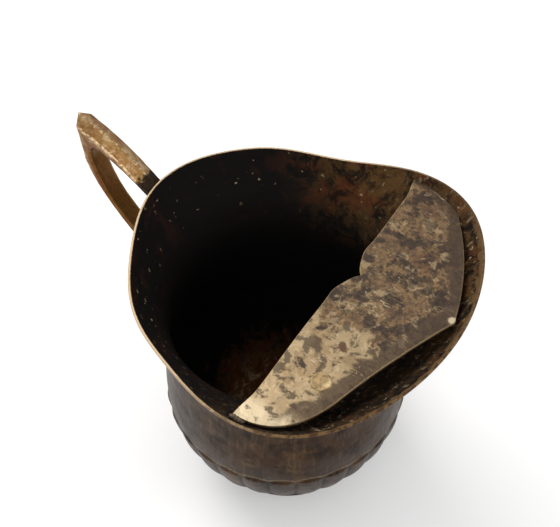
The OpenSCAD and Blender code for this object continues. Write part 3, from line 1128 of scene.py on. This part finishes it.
@dataclass
class Handle:
    """The ear-shaped strap with a ridge along its back and a pointed knee."""

    shell: Shell
    knee_reach: float = 23.4
    knee_rise: float = 13.2
    knee_drop: float = 12.0
    heel_kick: float = 0.7
    knee_point: float = 2.5
    arm_bow: float = 2.0
    low_root_height: float = 60.0
    root_drop: float = 1.6
    root_half: float = 0.65
    width: float = 6.4
    thick: float = 2.3
    knee_extra: float = 1.3
    ridge: float = 1.2
    shoulder: float = 0.9
    bevel: float = 0.7
    point_spread: float = 1.6
    crest_side: float = -0.2
    corner_radius: float = 0.4
    wear: float = 0.1
    top_pad: tuple[float, float] = (2.2, 1.0)
    low_pad: tuple[float, float] = (4.4, 1.1)
    bite: float = 0.35
    arch_start: float = 0.62
    arch_rise: float = 1.6
    arm_steps: int = 64
    lower_steps: int = 72
    corner_round: int = 5
    side_steps: int = 4

    def lines(self) -> tuple[np.ndarray, np.ndarray, int]:
        """The strap's outside and inside lines in the plane of the handle.

        The arm is a bowed quadratic curve from the rim to the knee, the heel a straight drop, and the lower
        arm a cubic curve to the belly. The inside follows at the strap's thickness, which grows towards the
        knee, and rounds it.

        Returns:
            Outside points, inside points, and the number of the knee's point.
        """
        s = self.shell
        back, level = float(s.rim_radius(np.array(pi))), float(s.rim_level(np.array(pi)))
        knee = np.array([-back - self.knee_reach, level + self.knee_rise])
        heel = knee + np.array([-self.heel_kick, -self.knee_drop])
        top_z = level - self.root_drop
        top_low = top_z - 2 * self.root_half * self.thick
        top, top_in = (np.array([-s.wall_radius(z, pi) + self.bite, z]) for z in (top_z, top_low))
        low_z, low_high = (self.low_root_height + side * self.root_half * self.thick for side in (-1, 1))
        low, low_in_end = (np.array([-float(s.bowl_radius(np.array(z))) + self.bite, z])
                           for z in (low_z, low_high))
        along = unit(knee - top)
        middle = mix(top, knee, 0.6) + 2 * self.arm_bow * np.array([along[1], -along[0]])
        arm = bezier([top, middle, knee], np.linspace(0, 1, self.arm_steps))
        split = int(round(self.arch_start * (self.arm_steps - 1)))
        swell = self.knee_extra * ease(np.arange(self.arm_steps) / split)
        arm_in = offset_line(arm, -self.thick - swell)[:split + 1]
        arm_in = arm_in + (top_in - arm_in[0]) * (1 - ease(np.linspace(0, 4, split + 1)))[:, None]
        elbow = [heel + np.array([2.2, -0.36 * (heel[1] - low[1])]), low + np.array([-15.5, 12.5])]
        lower = bezier([heel, *elbow, low], np.linspace(0, 1, self.lower_steps))
        swell = self.knee_extra * ease(1 - np.linspace(0, 2.5, self.lower_steps))
        lower_in = offset_line(lower, -self.thick - swell)
        fade = ease(np.linspace(-3, 1, self.lower_steps))[:, None]
        lower_in = lower_in + (low_in_end - lower_in[-1]) * fade
        corner = np.concatenate([arm[split + 1:], mix(knee, heel, np.linspace(0, 1, 14)[1:-1, None])])
        arch = np.array([lower_in[0, 0] + 0.3, arm_in[-1, 1] + self.arch_rise])
        corner_in = bezier([arm_in[-1], arch, lower_in[0]], np.linspace(0, 1, len(corner) + 2)[1:-1])
        outside = np.concatenate([arm[:split + 1], corner, lower])
        inside = np.concatenate([arm_in, corner_in, lower_in])
        return outside, inside, self.arm_steps - 1

    def build(self, brass: bpy.types.Material, solder: bpy.types.Material) -> list[bpy.types.Object]:
        """Carries a rounded seven-sided section along the two lines, and adds both solder pads.

        Args:
            brass: finish of the strap.
            solder: finish of the pads.

        Returns:
            The strap and the pads.
        """
        outside, inside, knee = self.lines()
        across = outside - inside
        depth = np.linalg.norm(across, axis=1)
        run = arc_length(outside)
        point = np.exp(-((run - run[knee]) / self.point_spread) ** 2)
        half, bevel = self.width / 2, self.bevel
        crest = depth + self.ridge + (self.knee_point - self.ridge) * point
        shoulder = depth - self.shoulder + 0.5 * point
        flat = 0 * depth
        corners = np.stack([np.stack([flat + side, up + flat], -1) for side, up in (
            (bevel - half, 0.0), (-half, bevel), (-half, shoulder), (self.crest_side, crest),
            (half, shoulder), (half, bevel), (half - bevel, 0.0))], axis=1)
        rounded = soften(corners, self.corner_radius, self.corner_round)
        section, part = refine(rounded, self.side_steps, self.corner_round)
        side, through = section[..., 0], section[..., 1]
        through = through + self.wear * ripple(run[:, None] * 0.35 + 0 * side, side * 0.8, 11, 9, 5.0)
        base = inside[:, None, :] + unit(across)[:, None, :] * through[..., None]
        points = np.stack([base[..., 0], side, base[..., 1]], axis=-1)
        known = np.arange(corners.shape[1] * self.corner_round + 1)
        place = np.arange(section.shape[1]) / self.side_steps
        back, arris_highlight, flank = (np.interp(place, known, np.repeat(v + v[:1], self.corner_round)[:len(known)])
                              # first list: back, highest on the roof facet where light is painted
                              for v in ([0.1, 0.1, 0.9, 1.0, 0.3, 0.0, 0.0],
                                        # second list: arris_highlight, the edges where highlights are painted
                                        [0.0, 0.3, 1.0, 0.9, 0.5, 0.2, 0.0],
                                        [0.3, 0.8, 0.7, 0.0, 0.5, 0.8, 0.3]))
        root = np.minimum(run, run[-1] - run)[:, None]
        values = {key: (value + 0 * side, 0.0, 0.0) for key, value in
                  (("back", back), ("arris_highlight", arris_highlight * part), ("flank", flank), ("root", root))}
        pieces = [adopt(loft("handle_strap", points, brass, values=values), "handle", "handle")]
        for end, where, (high, extra) in ((0, "top", self.top_pad), (-1, "low", self.low_pad)):
            lean = float(across[end][0] / across[end][1])
            middle = (outside[end] + inside[end]) / 2
            joint = pad(f"handle_{where}_joint", middle, lean, high, half + extra, solder)
            pieces.append(adopt(joint, "solder", f"handle_{where}_solder"))
        return pieces


def pad(name: str, at: np.ndarray, slope: float, high: float, wide: float,
        material: bpy.types.Material) -> bpy.types.Object:
    """A lumpy dome of run solder on the back wall.

    It is a flattened ball in longitude and latitude, its radius stirred by seeded ripples.

    Args:
        name: the piece's name.
        at: its centre in the plane of the handle.
        slope: the wall's lean there, as radius lost for each millimetre of height.
        high: half its height.
        wide: half its width.
        material: the finish.

    Returns:
        The piece.
    """
    a = np.linspace(0, 2 * pi, 48, endpoint=False)[None, :]
    b = np.linspace(-pi / 2, pi / 2, 24)[1:-1, None]
    grid_a, grid_b = np.broadcast_arrays(a, b)
    lump = 1 + 0.09 * ripple(grid_a, grid_b, len(name), 9, 5.0)
    out = np.where(grid_b > 0, 1.3, 0.1) * np.sin(grid_b) * lump
    y = wide * np.cos(grid_b) * np.cos(grid_a) * lump
    z = high * np.cos(grid_b) * np.sin(grid_a) * lump
    lean = np.arctan(slope)
    x = z * sin(lean) - out * cos(lean)
    up = z * cos(lean) + out * sin(lean)
    return loft(name, np.stack([at[0] + x, y, at[1] + up], axis=-1), material)


@dataclass
class Guard:
    """The notched plate across the lip, with its seams, rivet and bracket."""

    shell: Shell
    thick: float = 1.0
    drop: float = 1.0
    back: float = 17.7
    offset: float = 5.3
    notch_depth: float = 3.2
    notch_half: float = 7.0
    nose_reach: float = 48.2
    nose_lift: float = 0.45
    warp: float = 0.16
    near_bend: tuple[float, float] = (46.3, -40.2)
    far_bend: tuple[float, float] = (49.1, 35.6)
    far_end: float = 69.0
    far_leave: float = 49.0
    near_end: float = -69.5
    near_gap: float = 1.2
    far_gap: float = 0.5
    rivet_reach: float = 39.9
    rivet_angle: float = -42.5
    rivet_radius: float = 2.6
    rivet_height: float = 0.25
    rivet_shank: float = 1.5
    rivet_tail: float = 2.25
    round_edge: float = 0.3
    worn_width: float = 0.35
    solder_bite: float = 0.35
    solder_rise: float = 0.12
    edge_steps: int = 400

    @property
    def top(self) -> float:
        """Height of the plate's upper face."""
        return self.shell.rim_height - self.drop

    @staticmethod
    def polar(radius: float, degrees: float) -> np.ndarray:
        """Plan point at a distance and direction from the pot's axis."""
        return np.array([radius * cos(radians(degrees)), radius * sin(radians(degrees))])

    def outer_edge(self) -> np.ndarray:
        """Plan line of the plate's outer edge from the near tip to the far end.

        A quartic and a cubic curve make the ogee from the near tip over its bend to the nose, and a short
        quadratic one rounds the nose. A cubic curve runs past the far bend to the wall, and the wall's own
        curve closes the far end.

        Returns:
            Evenly spaced plan points.
        """
        middle = self.top - self.thick / 2
        near_wall = self.shell.inner_radius(middle, radians(self.near_end))
        tip = self.polar(near_wall - self.near_gap, self.near_end)
        near = self.polar(*self.near_bend)
        far = self.polar(*self.far_bend)
        nose = np.array([self.nose_reach, self.offset - 0.3])
        wall = np.stack([self.polar(self.shell.inner_radius(middle, radians(a)) - 0.02, a)
                         for a in np.linspace(self.far_leave, self.far_end, 16)])
        t = np.linspace(0, 1, 60)
        before, after = nose + [-0.4, -0.9], nose + [-0.4, 1.2]
        first = bezier([tip, tip + [6.5, -0.6], tip + [13.2, 2.2], near + [-2.4, -7.0], near], t)
        second = bezier([near, near + [1.9, 6.6], nose + [-7.8, -16.9], before], t)
        turn = bezier([before, nose + [0.25, 0.1], after], t[::8])
        third = bezier([after, mix(nose, far, 0.5) + [0.9, 0.3], far + [0.8, -1.5], wall[0]], t)
        return resample(np.concatenate([first, second[1:], turn[1:], third[1:], wall[1:]]), self.edge_steps)

    def inner_edge(self) -> np.ndarray:
        """Plan line of the straight edge with its V notch, from the near tip to the far end.

        Returns:
            Plan points, evenly spaced in Y.
        """
        ends = self.outer_edge()[[0, -1]]
        y = np.linspace(ends[0, 1], ends[1, 1], self.edge_steps)
        s = np.abs(y - self.offset) / self.notch_half
        cut = np.where(s < 1, (1 - s) * (1 - 0.35 * np.sin(pi * np.clip(s, 0, 1))), 0.0)
        swell = 0.35 * np.exp(-((s - 1.1) / 0.5) ** 2)
        x = self.back + self.notch_depth * cut - swell + 0.25 * np.sin(y * 0.11)
        window = np.hanning(25) / np.hanning(25).sum()
        padded = np.pad(x, 12, "edge")
        x = mix(np.convolve(padded, window, "valid"), x, np.exp(-(s / 0.3) ** 2))
        start, end = ease((y - y[0]) / 9.0), ease((y[-1] - y) / 7.0)
        x = mix(ends[0, 0], mix(ends[1, 0], x, end), start)
        return np.stack([x, y], axis=1)

    def matched(self) -> tuple[np.ndarray, np.ndarray]:
        """Both edges with points paired so that the lines across the plate fan gently.

        Returns:
            Inner and outer plan points.
        """
        outer, inner = self.outer_edge(), self.inner_edge()
        height = np.maximum.accumulate(outer[:, 1] + np.linspace(0, 1e-4, len(outer)))
        span = (height - height[0]) / (height[-1] - height[0])
        pace = mix(np.linspace(0, 1, len(outer)), span, 0.75)
        pick = np.interp(pace, np.linspace(0, 1, len(inner)), np.arange(len(inner)))
        pairs = np.stack([np.interp(pick, np.arange(len(inner)), inner[:, k]) for k in (0, 1)], axis=1)
        return pairs, outer

    def build_plate(self, brass: bpy.types.Material) -> bpy.types.Object:
        """Builds the plate as a loop over its section, carried from one end to the other.

        Each station is a line across the plate from its inner to its outer edge. The section goes out along
        the top, round the outer edge, back along the bottom and round the inner edge. Ripples warp it.

        Args:
            brass: the finish.

        Returns:
            The plate.
        """
        inner, outer = self.matched()
        across = np.linalg.norm(outer - inner, axis=1)[:, None]
        bend = np.minimum(self.round_edge, across * 0.3)
        turn = np.linspace(0, pi, 7)[None, 1:-1]
        top_run = bend + ease(np.linspace(0, 1, 34))[None, :] * (across - 2 * bend)
        round_run = bend - bend * np.sin(turn)
        run = np.concatenate([top_run, across - round_run, top_run[:, ::-1], round_run], axis=1)
        centre = self.top - self.thick / 2
        round_z = self.thick / 2 * np.cos(turn) + 0 * across
        upper = np.full_like(top_run, self.top)
        z = np.concatenate([upper, centre + round_z, upper - self.thick, centre - round_z], axis=1)
        direction = (outer - inner) / np.maximum(across, 1e-6)
        plan = inner[:, None, :] + direction[:, None, :] * run[..., None]
        x, y = plan[..., 0], plan[..., 1]
        warp = self.warp * ripple(x * 0.09, y * 0.09, 21, 9, 3.0)
        lift = self.nose_lift * np.exp(-(((x - self.nose_reach) / 7.0) ** 2 + ((y - self.offset) / 8.0) ** 2))
        from_outer = across - run
        rounded = np.maximum(*(np.exp(-(to_edge / self.worn_width) ** 2) for to_edge in (run, from_outer)))
        values = {"rim": (from_outer, 5.0, 5.0), "bend": (rounded, 0.0, 0.0)}
        rings = np.stack([x, y, z + warp + lift], axis=-1)
        return adopt(loft("guard_sheet", rings, brass, values=values, reverse=True), "guard", "guard_plate")

    def build_rivet(self, brass: bpy.types.Material) -> bpy.types.Object:
        """Builds the rivet: a low disc with a rounded rim, its shank and its closed tail.

        Args:
            brass: the finish.

        Returns:
            The rivet.
        """
        r, t, rise = self.rivet_radius, self.top, self.rivet_height
        shank, tail = self.rivet_shank, self.rivet_tail
        low = t - self.thick - 1.0
        profile = np.array([[0.0, low - 0.8], [1.9, low - 0.8], [tail, low - 0.6], [tail, low], [shank, low],
                            [shank, t - 0.2], [r - 0.1, t - 0.2], [r, t + 0.05], [r - 0.08, t + rise * 0.8],
                            [r - 0.3, t + rise], [r - 0.5, t + rise * 0.8], [r * 0.5, t + rise * 1.1],
                            [0.0, t + rise * 1.2]])
        centre = tuple(self.polar(self.rivet_reach, self.rivet_angle))
        rivet = revolve("guard_rivet_head", profile, 64, brass, centre, closed=False)
        return adopt(rivet, "rivet", "guard_rivet")

    def build_seam(self, name: str, node: str, start: float, end: float, gap: float,
                   solder: bpy.types.Material) -> bpy.types.Object:
        """Builds a lumpy bead of solder along the wall at one end of the plate.

        A round section, flattened and stirred by ripples, is carried along the wall's inner line.

        Args:
            name: the piece's name.
            node: the CAD node that it stands for.
            start: first direction in degrees.
            end: last direction in degrees.
            gap: distance from the wall that the bead fills.
            solder: the finish.

        Returns:
            The bead.
        """
        level = self.top - self.thick / 2
        steps = 40
        line = np.stack([self.polar(self.shell.inner_radius(level, radians(d)) - gap / 2, d)
                         for d in np.linspace(start, end, steps)])
        turn = np.linspace(0, 2 * pi, 20, endpoint=False)[None, :]
        lumps = 1 + 0.25 * ripple(np.linspace(0, 9, steps)[:, None] + 0 * turn, turn, 31, 7, 3.0)
        swell = np.sin(np.linspace(0, pi, steps))[:, None] ** 0.4 * lumps
        out = (gap / 2 + self.solder_bite) * np.cos(turn) * swell
        up = (self.thick / 2 + self.solder_rise) * np.sin(turn) * swell
        plan = line[:, None, :] + unit(line)[:, None, :] * out[..., None]
        rings = np.concatenate([plan, (level + up)[..., None]], axis=-1)
        return adopt(loft(name, rings, solder), "solder", node)

    def build(self, brass: bpy.types.Material, bright: bpy.types.Material,
              solder: bpy.types.Material) -> list[bpy.types.Object]:
        """Builds the plate, its rivet and its two seams, and gives the hidden bracket its finish.

        Args:
            brass: finish of the plate.
            bright: finish of the rivet.
            solder: finish of the seams.

        Returns:
            The pieces.
        """
        dress("guard_bracket", brass)
        seams = (("near", self.near_end - 1, self.near_end + 4, self.near_gap),
                 ("far", self.far_leave + 2, self.far_end - 1, self.far_gap))
        return [self.build_plate(brass), self.build_rivet(bright),
                *(self.build_seam(f"guard_seam_{side}", f"guard_solder_{side}", start, end, gap, solder)
                  for side, start, end, gap in seams)]


@dataclass
class Studio:
    """The pale table, the soft lights and the camera."""

    azimuth: float = radians(-54.3)
    elevation: float = radians(51.35)
    roll: float = radians(-2.2)
    distance: float = 226.7
    aim: Triple = (1.5, -2.8, 97.0)
    light_aim: Triple = (0.0, 0.0, 60.0)
    lens: float = 55.9
    table_half: float = 900.0
    table_gap: float = 0.02
    surround: float = 0.85

    def build_table(self) -> bpy.types.Object:
        """Builds the table as a flat grid just under the pot.

        Returns:
            The table.
        """
        s = np.linspace(-1, 1, 33) * self.table_half
        x, y = np.meshgrid(s, s)
        points = np.stack([x, y, 0 * x - self.table_gap], axis=-1).reshape(-1, 3)
        quads = grid_faces(len(s), len(s), Seam.OPEN)
        table = make_piece("table", points, quads, None, {}, TableFinish().build())
        return table

    def add_light(self, name: str, place: Triple, size: float, power: float, colour: Colour) -> None:
        """Adds a square softbox that faces the pot.

        Args:
            name: its name.
            place: its place in millimetres.
            size: its side in millimetres.
            power: its power in watts.
            colour: its colour.
        """
        data = bpy.data.lights.new(name, "AREA")
        data.size = size * MM
        data.energy = power
        data.color = colour
        light = bpy.data.objects.new(name, data)
        light.location = Vector(place) * MM
        view = Vector(self.light_aim) * MM - light.location
        light.rotation_euler = view.to_track_quat("-Z", "Y").to_euler()
        bpy.context.scene.collection.objects.link(light)

    def build_lights(self) -> None:
        """Adds the softboxes and an even pale surround."""
        for light in (("key", (-420.0, 120.0, 620.0), 420.0, 2.6, (1.0, 0.98, 0.95)),
                      ("front", (120.0, -520.0, 420.0), 380.0, 1.2, (0.98, 0.99, 1.0)),
                      ("right", (560.0, 180.0, 380.0), 300.0, 0.8, (1.0, 0.99, 0.97))):
            self.add_light(*light)
        world = bpy.data.worlds.new("surround")
        world.use_nodes = True
        background = world.node_tree.nodes["Background"].inputs
        background["Color"].default_value = (1.0, 1.0, 1.0, 1.0)
        background["Strength"].default_value = self.surround
        bpy.context.scene.world = world
        bpy.context.scene.view_settings.view_transform = "Standard"

    def build_camera(self) -> None:
        """Adds the camera, turned by a small roll about its own axis."""
        level = cos(self.elevation)
        away = Vector((level * cos(self.azimuth), level * sin(self.azimuth), sin(self.elevation)))
        data = bpy.data.cameras.new("camera")
        data.sensor_width = 36.0
        data.lens = self.lens
        data.clip_start, data.clip_end = 0.01, 20.0
        camera = bpy.data.objects.new("camera", data)
        turn = away.to_track_quat("Z", "Y").to_matrix().to_4x4() @ Matrix.Rotation(self.roll, 4, "Z")
        camera.matrix_world = Matrix.Translation((Vector(self.aim) + away * self.distance) * MM) @ turn
        bpy.context.scene.collection.objects.link(camera)
        bpy.context.scene.camera = camera


def main() -> None:
    """Builds the pot piece by piece, then the table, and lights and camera."""
    logging.basicConfig(level=logging.INFO, format="%(name)s: %(message)s")
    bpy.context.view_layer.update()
    dark = RubbedFinish("foot_brass", srgb(52, 42, 33), srgb(92, 76, 56), srgb(20, 16, 14),
                        scale=0.25, metal=0.6, rough=0.45, relief=0.08)
    bright = RubbedFinish("rivet_brass", srgb(150, 126, 86), srgb(186, 164, 122), srgb(98, 78, 50),
                          scale=0.5, metal=0.5, rough=0.4, relief=0.04)
    solder = RubbedFinish("solder", srgb(74, 60, 46), srgb(130, 112, 86), srgb(30, 24, 19),
                          scale=0.5, metal=0.5, rough=0.5, relief=0.1).build()
    shell = Shell()
    made = [shell.build(SheetFinish().build())]
    made += Foot().build(dark.build(), solder)
    made += Handle(shell).build(HandleFinish().build(), solder)
    made += Guard(shell).build(GuardFinish().build(), bright.build(), solder)
    for piece in made:
        LOG.info("%s: %d faces", piece.name, len(piece.data.polygons))
    studio = Studio()
    studio.build_table()
    studio.build_lights()
    studio.build_camera()


if __name__ == "__main__":
    main()
